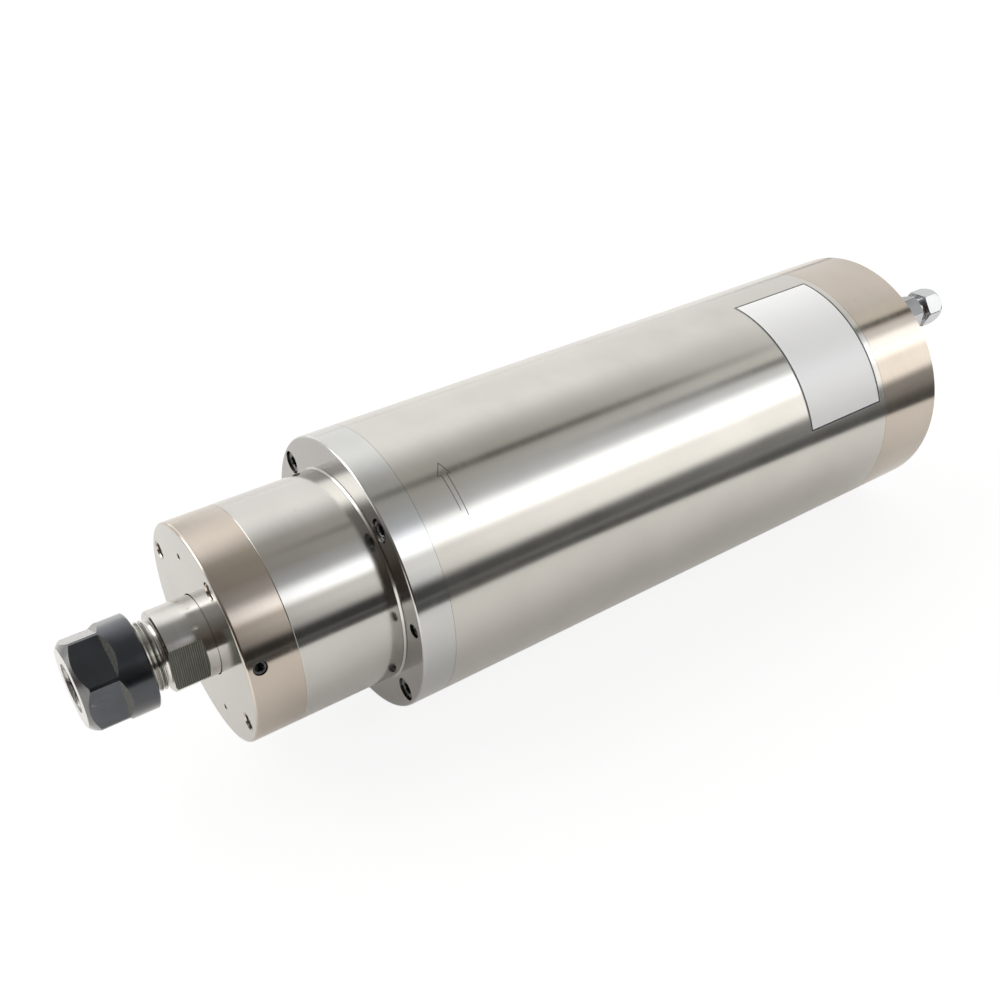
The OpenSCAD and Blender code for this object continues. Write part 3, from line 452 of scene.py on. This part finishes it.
def flange_tone(t, b, p, normal, base, shade, rough, height):
    """The flange is a cooler steel than the pilot in front of it; its end face is darkened as painted shade, and its
    tapped holes have painted shade on their walls.
    """
    x, y, z, r = p
    ring = t.math("MULTIPLY", t.remap(r, 44.5, 45.0, 0.0, 1.0), t.remap(x, -0.1, 0.0, 0.0, 1.0))
    base = t.mix(ring, base if not isinstance(base, tuple) else (*base, 1), (0.568, 0.570, 0.562))
    # Painted shade: a darker copy of the flange steel on its end face.
    front = t.math("MULTIPLY", t.remap(r, 41.05, 41.15, 0.0, 1.0), t.remap(x, -0.1, 0.0, 0.0, 1.0))
    base = t.mix(t.math("MULTIPLY", front, t.remap(t.math("ABSOLUTE", normal[0]), 0.90, 0.97, 0.0, 1.0)), base, (0.42, 0.412, 0.398))
    # Painted shade on the walls of the tapped holes.
    hole_shade = t.math("MULTIPLY", t.remap(t.math("ABSOLUTE", normal[0]), 0.4, 0.3, 0.0, 1.0), t.math("MULTIPLY", t.remap(r, 52.2, 52.1, 0.0, 1.0), t.remap(x, 0.05, 0.1, 0.0, 1.0)))
    base = t.mix(t.math("MULTIPLY", hole_shade, ring), base, (0.12, 0.115, 0.105))
    mark = t.noise(t.vec(t.math("MULTIPLY", x, 4.0), t.math("MULTIPLY", t.math("ARCTAN2", z, y), 5.0), 0.0), 1.0, 2.0, 0.5)
    mark = t.math("MULTIPLY", t.remap(mark, 0.62, 0.74, 0.0, 1.0), t.remap(t.math("ABSOLUTE", normal[0]), 0.2, 0.4, 1.0, 0.0))
    rough = t.math("ADD", rough, t.math("MULTIPLY", mark, 0.05))
    height = t.math("ADD", height, t.math("MULTIPLY", mark, -0.6))
    return base, shade, rough, height


def label_foil():
    """White foil label: thin dark line round its edge, then a narrow clear margin, blank inside."""
    mat, t, b = shell("label_foil")
    x, y, z, r = polar(t)
    s = t.math("MULTIPLY", t.math("ARCTAN2", z, y), 52.54)
    edge = [t.math("SUBTRACT", x, 185.1), t.math("SUBTRACT", 226.1, x), t.math("SUBTRACT", s, 52.54 * math.radians(89.7)), t.math("SUBTRACT", 52.54 * math.radians(161.0), s)]
    d = t.math("MINIMUM", t.math("MINIMUM", edge[0], edge[1]), t.math("MINIMUM", edge[2], edge[3]))
    n1 = t.noise(t.vec(x, y, z), 3.2, 3.0, 0.6)
    n2 = t.noise(t.vec(x, y, z), 0.09, 3.0, 0.5)
    line = inside(t, t.math("ADD", d, t.remap(n1, 0.3, 0.7, -0.02, 0.02)), 0.12, 0.86, 0.04)
    k = t.math("MULTIPLY", t.remap(n1, 0.3, 0.7, 0.99, 1.01, clamp=False), t.remap(n2, 0.3, 0.7, 0.992, 1.006, clamp=False))
    base = t.mix(t.remap(d, 0.1, 0.18, 0.0, 1.0), (0.55, 0.55, 0.54), (0.99, 0.995, 1.0))
    base = t.mix(line, base, (0.012, 0.013, 0.018))
    t.put(b.inputs["Base Color"], scaled(t, base, k))
    b.inputs["Metallic"].default_value = 0.14
    b.inputs["IOR"].default_value = 1.5
    b.inputs["Specular IOR Level"].default_value = 1.0
    t.put(b.inputs["Roughness"], t.remap(n2, 0.3, 0.7, 0.41, 0.44, clamp=False))
    bumped(t, b, t.math("ADD", t.math("MULTIPLY", n1, 0.4), t.math("MULTIPLY", t.noise(t.vec(x, y, z), 0.35, 2.0, 0.5), 2.0)), 0.08)
    return mat


STEEL = (0.575, 0.560, 0.527)
MATS = {
    "stainless": turned("body_steel", STEEL, 0.165, 0.55, lines=0.010, bump=0.045, marks=0.0),
    "housing_steel": turned("housing_steel", (0.575, 0.562, 0.538), 0.145, 0.5, lines=0.012, bump=0.05, marks=0.05, special=flange_tone),
    "nickel": turned("nickel_plate", (0.54, 0.479, 0.417), 0.145, 0.45, lines=0.015, bump=0.07, tint=(0.54, 0.482, 0.422), face=(0.575, 0.555, 0.532), marks=0.07, special=cap_marks),
    "ground_steel": turned("ground_steel", (0.60, 0.588, 0.565), 0.145, 0.2, bump=0.1, special=shaft_marks),
    "black_oxide": oxide("black_oxide", 0.24, 1.9),
    "collet_steel": turned("collet_steel", (0.74, 0.73, 0.715), 0.20, bump=0.2),
    "bearing_steel": turned("bearing_steel", (0.66, 0.66, 0.67), 0.12),
    "bronze": turned("bronze", (0.55, 0.33, 0.14), 0.3, bump=0.3),
    "spacer_steel": turned("spacer_steel", (0.5, 0.5, 0.51), 0.3, bump=0.3),
    "dark_steel": turned("dark_steel", (0.14, 0.14, 0.15), 0.35, bump=0.3),
    "lamination": turned("lamination", (0.22, 0.22, 0.24), 0.45, lines=0.25, fine=1.4, bump=0.5),
    "cage_aluminium": plain("cast_aluminium", (0.72, 0.72, 0.74), 0.35, 1.0),
    "aluminium": turned("turned_aluminium", (0.7, 0.7, 0.71), 0.3, bump=0.3),
    "copper": plain("copper_wire", (0.72, 0.32, 0.13), 0.3, 1.0),
    "wire": plain("wire_jacket", (0.5, 0.03, 0.02), 0.45),
    "rubber": plain("rubber", (0.022, 0.022, 0.022), 0.62, grain=0.1),
    "chrome": plain("chrome", (0.545, 0.556, 0.575), 0.15, 1.0, bump=0.06),
    "brass": turned("brass", (0.72, 0.52, 0.2), 0.22, bump=0.2),
    "copper_washer": turned("copper_washer", (0.76, 0.38, 0.2), 0.3, bump=0.2),
    "connector_metal": turned("connector_metal", (0.66, 0.66, 0.67), 0.28, bump=0.2),
    "connector_plastic": plain("connector_plastic", (0.02, 0.02, 0.02), 0.42),
    "contact": turned("contact_gold", (0.9, 0.62, 0.24), 0.2, bump=0.1),
    "screw_steel": plain("zinc_screw", (0.6, 0.6, 0.62), 0.28, 1.0),
    "label": label_foil(),
}
slot_of = {s["node"]: s["material_slot"] for s in frame["record"]["subparts"]}
NUT = nut_skin()
for name, o in frame["nodes"].items():
    o.data.materials.clear()
    o.data.materials.append(NUT if name == "collet_nut" else MATS[slot_of[name]])


# ------------------------------------------------------------------ turning arrow
def ribbon(bm, path, width, r0, r1):
    """A thin closed strip that follows the body; path holds points (x in mm, angle in degrees)."""
    def pt(x, s, r):
        return bm.verts.new((x * MM, r * MM * math.cos(s / 52.5), r * MM * math.sin(s / 52.5)))
    pts = []
    for (xa, ta), (xb, tb) in zip(path, path[1:]):
        sa, sb = 52.5 * math.radians(ta), 52.5 * math.radians(tb)
        n = max(1, int(math.hypot(xb - xa, sb - sa) / 0.6))
        pts += [(xa + (xb - xa) * i / n, sa + (sb - sa) * i / n) for i in range(n)]
    closed = path[0] == path[-1]
    if not closed:
        pts.append((path[-1][0], 52.5 * math.radians(path[-1][1])))
    rings = []
    for i, (x, s) in enumerate(pts):
        a = pts[i - 1] if (i > 0 or closed) else pts[i]
        b = pts[(i + 1) % len(pts)] if (i < len(pts) - 1 or closed) else pts[i]
        d1 = Vector((x - a[0], s - a[1]))
        d2 = Vector((b[0] - x, b[1] - s))
        d1 = d1.normalized() if d1.length > 1e-9 else d2.normalized()
        d2 = d2.normalized() if d2.length > 1e-9 else d1
        n1, n2 = Vector((-d1.y, d1.x)), Vector((-d2.y, d2.x))
        m = (n1 + n2).normalized()
        k = min(width / 2 / max(m.dot(n1), 0.35), width * 1.4)
        rings.append([pt(x + m.x * k, s + m.y * k, r0), pt(x + m.x * k, s + m.y * k, r1), pt(x - m.x * k, s - m.y * k, r1), pt(x - m.x * k, s - m.y * k, r0)])
    last = len(rings) if closed else len(rings) - 1
    for i in range(last):
        p, q = rings[i], rings[(i + 1) % len(rings)]
        for j in range(4):
            bm.faces.new((p[j], p[(j + 1) % 4], q[(j + 1) % 4], q[j]))
    if not closed:
        bm.faces.new(rings[0])
        bm.faces.new(list(reversed(rings[-1])))


bm = bmesh.new()
ribbon(bm, [(27.35, 134.5), (27.0, 119.2), (25.6, 119.1), (28.5, 114.1), (30.4, 119.5), (29.1, 119.4), (29.25, 137.0)], 0.27, 52.49, 52.515)
bmesh.ops.recalc_face_normals(bm, faces=bm.faces)
me = bpy.data.meshes.new("turning_arrow")
bm.to_mesh(me)
bm.free()
arrow = bpy.data.objects.new("turning_arrow", me)
bpy.context.scene.collection.objects.link(arrow)
mat, t, b = shell("laser_mark")
x, y, z, r = polar(t)
n1 = t.noise(t.vec(x, y, z), 5.0, 3.0, 0.6)
# Painted highlight: the mark turns paler towards the bright band round the body.
fade = t.remap(t.math("ARCTAN2", z, y), math.radians(122), math.radians(136), 0.0, 0.75)
t.put(b.inputs["Base Color"], t.mix(fade, scaled(t, (0.085, 0.068, 0.052), t.remap(n1, 0.3, 0.7, 0.7, 1.3, clamp=False)), (0.36, 0.34, 0.31)))
b.inputs["Metallic"].default_value = 0.0
t.put(b.inputs["Roughness"], t.remap(n1, 0.3, 0.7, 0.5, 0.65))
bumped(t, b, n1, 0.3)
me.materials.append(mat)
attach(arrow, "spindle_body")


# ------------------------------------------------------------------ threads in the tapped holes
def ridge(bm, cy, cz, x0, turns, r_base, r_crest, pitch=1.0, seg=40):
    """A helical ridge of a tapped hole along X, its base just inside the wall."""
    rings = []
    for i in range(int(turns * seg) + 1):
        a = 2 * math.pi * i / seg
        x = x0 + pitch * i / seg
        k = min(1.0, i / 10, (turns * seg - i) / 10 + 0.05)
        rc = r_base - (r_base - r_crest) * max(k, 0.05)
        rings.append([bm.verts.new(((x + dx) * MM, (cy + r * math.cos(a)) * MM, (cz + r * math.sin(a)) * MM))
                      for dx, r in ((-0.46 * pitch, r_base), (-0.06 * pitch, rc), (0.06 * pitch, rc), (0.46 * pitch, r_base))])
    for p, q in zip(rings, rings[1:]):
        for j in range(4):
            bm.faces.new((p[j], p[(j + 1) % 4], q[(j + 1) % 4], q[j]))
    bm.faces.new(rings[0])
    bm.faces.new(list(reversed(rings[-1])))


def threads(name, places, mat):
    bm = bmesh.new()
    for args in places:
        ridge(bm, *args)
    bmesh.ops.recalc_face_normals(bm, faces=bm.faces)
    me = bpy.data.meshes.new(name)
    bm.to_mesh(me)
    bm.free()
    o = bpy.data.objects.new(name, me)
    bpy.context.scene.collection.objects.link(o)
    me.materials.append(mat)
    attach(o, "spindle_body")


def around(R, a):
    return R * math.cos(math.radians(a)), R * math.sin(math.radians(a))


# Painted light: the cap threads are paler than the cap round them, to lift the shade in its holes.
THREAD = turned("thread_metal", (0.72, 0.69, 0.65), 0.26, bump=0.15, marks=0.2)
# Painted shade: the jack-hole threads are a near-black copy of the thread steel.
THREAD_SHADE = turned("thread_painted_shade", (0.10, 0.097, 0.09), 0.34, bump=0.2, marks=0.2)
threads("cap_threads", [(*around(34.7, 30.8 + 90 * k), -54.9, 8.8, 3.03, 2.55) for k in range(4)], THREAD)
threads("jack_threads", [(*around(47.5, 173.5 + 180 * k), 0.75, 11.6, 2.63, 2.25) for k in range(2)], THREAD_SHADE)
